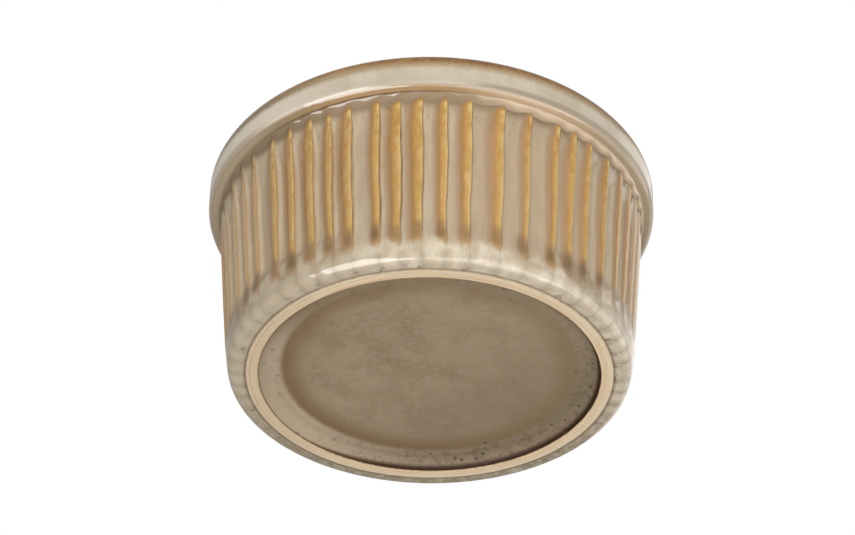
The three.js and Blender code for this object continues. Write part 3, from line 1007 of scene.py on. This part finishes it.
def base_glaze_finish():
    make = Finish("base_glaze_finish")
    back_right = make.slanting(1.0, 1.0, -10, 40)
    front_left = make.slanting(1.0, -0.6, 30, -30)
    far_side = make.slanting(0.8, 1.0, -4, 28)
    off_front = make.back(-22, -5)
    on_cove = make.outward(disc_radius - 0.3, disc_radius + 1.1)
    near_step = make.outward(disc_radius - 6, disc_radius - 0.2)
    near_ring = make.outward(26, 30)
    clouds = make.patches(7.0, low=0.35, high=0.65, detail=6.0, rough=0.65)
    shade = make.mix(clouds, BASE_BROWN, BASE_TAUPE)
    blotches = make.patches(1.5, low=0.4, high=0.7, detail=5.0, rough=0.75)
    shade = make.tint(shade, BASE_GREY, blotches, strength=0.5)
    # Painted shade towards the back right
    shade = make.tint(shade, BASE_SHADE, back_right, strength=0.6)
    grain = make.noise(0.45, detail=4.0, rough=0.75)
    # Pale grain of the glaze
    shade = make.tint(shade, BASE_GRAIN_AND_LIT_COVE, make.step(grain, 0.45, 0.7), strength=0.3)
    # Pooled glaze just inside the step, with painted shade stronger towards the front left
    shade = make.tint(shade, BASE_STEP_POOL_AND_SHADE, near_step, make.between(front_left, 0.45, 0.9))
    # The cove, painted as lit, in painted shade at the back right and fading out at the front
    cove = make.mix(back_right, BASE_GRAIN_AND_LIT_COVE, BASE_COVE_SHADE)
    shade = make.tint(shade, cove, on_cove, make.between(off_front, 0.25, 1.0))
    stains = make.patches(1.3, low=0.46, high=0.66, detail=5.0, rough=0.65)
    shade = make.tint(shade, BASE_STAIN, stains, on_cove, make.between(back_right, 0.1, 0.6))
    # The dark glaze edge in the corner by the ring, widened with painted shade on the far side
    corner_width = make.between(far_side, 0.25 * MM, 1.1 * MM)
    from_ring = make.combine("DIVIDE", make.minus(foot_inner * MM, make.radius), corner_width)
    corner = make.combine("SUBTRACT", 1.0, from_ring, clamp=True)
    shade = make.mix(make.step(corner, 0.05, 0.7), shade, make.mix(far_side, BASE_EDGE, BASE_CORNER_SHADE))
    large_holes = make.dots(apart=2.2, size=0.5, share=0.5)
    large_holes = make.times(large_holes, near_ring, make.between(back_right, 0.5, 1.0))
    small_holes = make.times(make.dots(apart=3.0, size=0.2, share=0.3), 0.5)
    holes = make.larger(large_holes, small_holes)
    make.set("Base Color", make.tint(shade, PINHOLE, holes, strength=0.8))
    make.set("Roughness", make.between(grain, 0.45, 0.65))
    make.set("Specular IOR Level", 0.1)
    make.bump(make.minus(make.noise(1.6, detail=4.0), make.times(holes, 0.8)), depth=0.05)
    return make.material


def clay_finish():
    make = Finish("clay_finish")
    streak_width, streak_length = 0.35 * MM, 9 * MM
    round_place = make.node("ShaderNodeCombineXYZ", {
        "X": make.times(make.radius, 1 / streak_width),
        "Y": make.times(make.axes["X"], 1 / streak_length),
        "Z": make.times(make.axes["Y"], 1 / streak_length),
    }).outputs[0]
    inputs = {"Vector": round_place, "Scale": 1.0, "Detail": 4.0}
    streaks = make.node("ShaderNodeTexNoise", inputs).outputs["Fac"]
    ring_middle = (foot_inner + foot_outer) / 2
    shade = make.mix(make.step(streaks, 0.3, 0.7), CLAY_PEACH, CLAY_PALE)
    shade = make.tint(shade, CLAY_CREAM, make.outward(ring_middle - 0.6, ring_middle + 0.6), strength=0.6)
    shade = make.tint(shade, CLAY_DIM, make.across(-14, -32), strength=0.7)
    turned_line = foot_outer - 0.85
    groove = make.times(make.outward(turned_line - 0.2, turned_line),
                        make.outward(turned_line + 0.12, turned_line))
    broken = make.patches(4.0, low=0.35, high=0.55)
    shade = make.tint(shade, CLAY_SPECK, groove, broken, make.across(4, -16), strength=0.6)
    ragged = make.plus(make.radius, make.swing(make.noise(1.1), 0.4 * MM))
    outer_edge = make.reach(ragged, foot_outer - 0.3, foot_outer + 0.05)
    inner_edge = make.reach(ragged, foot_inner + 0.15, foot_inner)
    shade = make.tint(shade, CLAY_GREY, make.larger(outer_edge, inner_edge), strength=0.85)
    small_specks = make.dots(apart=1.8, size=0.16, share=0.18)
    large_specks = make.dots(apart=3.0, size=0.25, share=0.12)
    specks = make.larger(small_specks, large_specks)
    make.set("Base Color", make.tint(shade, CLAY_SPECK, specks, strength=0.6))
    make.set("Roughness", make.between(streaks, 0.75, 0.9))
    make.bump(make.plus(streaks, make.noise(0.4, detail=4.0)), depth=0.04)
    return make.material


# Stage, in metres: a pale floor that fades into the white background and is clear seen from below
FLOOR_RADIUS = 0.6
FLOOR_FADE_START = 0.25
FLOOR_CORNERS = 96

# Light: the strength of the room for diffuse and for glossy rays, colours, and a lamp's watts per area
WORLD_LIGHT = 0.36
WORLD_GLOSS = 0.5
WHITE = (1.0, 1.0, 1.0, 1.0)
ROOM_TINT = (1.0, 0.96, 0.89, 1.0)
LAMP_WHITE = (1.0, 1.0, 1.0)
LAMP_WARM_WHITE = (1.0, 0.93, 0.84)
WATTS_PER_AREA = 4


def add_floor():
    bpy.ops.mesh.primitive_circle_add(vertices=FLOOR_CORNERS, radius=FLOOR_RADIUS, fill_type="NGON")
    floor = bpy.context.object
    floor.name = "floor"
    finish = Finish("floor_finish")
    finish.set("Base Color", FLOOR_COLOUR)
    finish.set("Roughness", 0.9)
    clear = finish.node("ShaderNodeBsdfTransparent", {}).outputs[0]
    from_below = finish.node("ShaderNodeNewGeometry", {}).outputs["Backfacing"]
    edge = finish.step(finish.radius, FLOOR_FADE_START, FLOOR_RADIUS)
    inputs = {0: finish.larger(from_below, edge), 1: finish.surface.outputs[0], 2: clear}
    mixed = finish.node("ShaderNodeMixShader", inputs).outputs[0]
    finish.feed(finish.tree.nodes["Material Output"].inputs["Surface"], mixed)
    floor.data.materials.append(finish.material)
    floor.visible_shadow = False
    floor.visible_diffuse = False
    floor.visible_glossy = False


def set_world():
    """White where the camera looks past the dish, and a soft light from all sides."""
    world = bpy.data.worlds.new("white_room")
    world.use_nodes = True
    tree = world.node_tree
    path = tree.nodes.new("ShaderNodeLightPath")
    background = tree.nodes["Background"]
    gloss = tree.nodes.new("ShaderNodeMapRange")
    gloss.inputs["To Min"].default_value = WORLD_LIGHT
    gloss.inputs["To Max"].default_value = WORLD_GLOSS
    tree.links.new(path.outputs["Is Glossy Ray"], gloss.inputs["Value"])
    level = tree.nodes.new("ShaderNodeMapRange")
    level.inputs["To Max"].default_value = 1.0
    tree.links.new(gloss.outputs["Result"], level.inputs["To Min"])
    tree.links.new(path.outputs["Is Camera Ray"], level.inputs["Value"])
    tree.links.new(level.outputs["Result"], background.inputs["Strength"])
    tint = tree.nodes.new("ShaderNodeMix")
    tint.data_type = "RGBA"
    tint.inputs[6].default_value = WHITE
    tint.inputs[7].default_value = ROOM_TINT
    tree.links.new(path.outputs["Is Glossy Ray"], tint.inputs[0])
    tree.links.new(tint.outputs[2], background.inputs["Color"])
    bpy.context.scene.world = world


def add_softbox(name, azimuth, elevation, distance, size, radiance, seen_by, light=LAMP_WHITE):
    """A soft lamp aimed at the dish. Azimuth 0 is at -Y and grows to the right, elevation grows upwards.

    It lights either the diffuse surface or only the gloss.
    """
    width, height = size
    lamp = bpy.data.lights.new(name, "AREA")
    lamp.shape = "RECTANGLE"
    lamp.size = width
    lamp.size_y = height
    lamp.energy = WATTS_PER_AREA * radiance * width * height
    lamp.color = light
    across, up = math.radians(azimuth), math.radians(elevation)
    away = Vector((math.sin(across) * math.cos(up), -math.cos(across) * math.cos(up), math.sin(up)))
    softbox = bpy.data.objects.new(name, lamp)
    softbox.location = away * distance + Vector((0, 0, HEIGHT * MM / 2))
    softbox.rotation_euler = away.to_track_quat("Z", "Y").to_euler()
    softbox.visible_diffuse = seen_by == "diffuse"
    softbox.visible_glossy = seen_by == "gloss"
    bpy.context.scene.collection.objects.link(softbox)


def add_lights():
    add_softbox("front_light", azimuth=0, elevation=-42, distance=1.2, size=(0.8, 0.8), radiance=4.6,
                seen_by="diffuse")
    add_softbox("left_softbox", azimuth=-46, elevation=-41, distance=1.0, size=(0.58, 1.25), radiance=5.6,
                seen_by="gloss")
    add_softbox("right_softbox", azimuth=55, elevation=-57, distance=1.0, size=(0.9, 0.8), radiance=2.3,
                seen_by="gloss")
    add_softbox("right_panel", azimuth=80, elevation=-20, distance=1.0, size=(2.2, 1.3), radiance=1.3,
                seen_by="gloss", light=LAMP_WARM_WHITE)
    add_softbox("far_panel", azimuth=135, elevation=10, distance=1.2, size=(1.4, 1.4), radiance=0.7,
                seen_by="gloss", light=LAMP_WARM_WHITE)
    add_softbox("top_light", azimuth=20, elevation=60, distance=1.0, size=(0.7, 0.7), radiance=1.5,
                seen_by="diffuse")


# Camera, from the place of the foot ring's centre in a picture of 855 by 535 pixels
PICTURE_WIDTH = 855
PICTURE_HEIGHT = 535
FOOT_CENTRE_ACROSS = 430.2
FOOT_CENTRE_DOWN = 378.4
FOCAL_PIXELS = 3500
CAMERA_DISTANCE = 0.6867
CAMERA_BELOW = math.radians(34.26)
CAMERA_ROLL = math.radians(0.63)
SENSOR_WIDTH = 36.0


def add_camera():
    data = bpy.data.cameras.new("camera")
    data.sensor_width = SENSOR_WIDTH
    data.lens = FOCAL_PIXELS * SENSOR_WIDTH / PICTURE_WIDTH
    camera = bpy.data.objects.new("camera", data)
    across = FOOT_CENTRE_ACROSS - PICTURE_WIDTH / 2
    down = FOOT_CENTRE_DOWN - PICTURE_HEIGHT / 2
    upright = Vector((across, down)) @ Matrix.Rotation(CAMERA_ROLL, 2)
    turn = Matrix.Rotation(math.atan(upright.x / FOCAL_PIXELS), 4, "Z")
    tilt = Matrix.Rotation(QUARTER_TURN + CAMERA_BELOW + math.atan(upright.y / FOCAL_PIXELS), 4, "X")
    away = Vector((0, -math.cos(CAMERA_BELOW), -math.sin(CAMERA_BELOW)))
    place = Matrix.Translation(CAMERA_DISTANCE * away)
    camera.matrix_world = place @ turn @ tilt @ Matrix.Rotation(CAMERA_ROLL, 4, "Z")
    bpy.context.scene.collection.objects.link(camera)
    bpy.context.scene.camera = camera


add_clay_body(clay_finish())
add_base_glaze(base_glaze_finish())
add_inner_glaze(inner_glaze_finish())
add_outer_glaze(outer_glaze_finish())
add_floor()
set_world()
add_lights()
add_camera()
bpy.context.scene.view_settings.view_transform = "Standard"
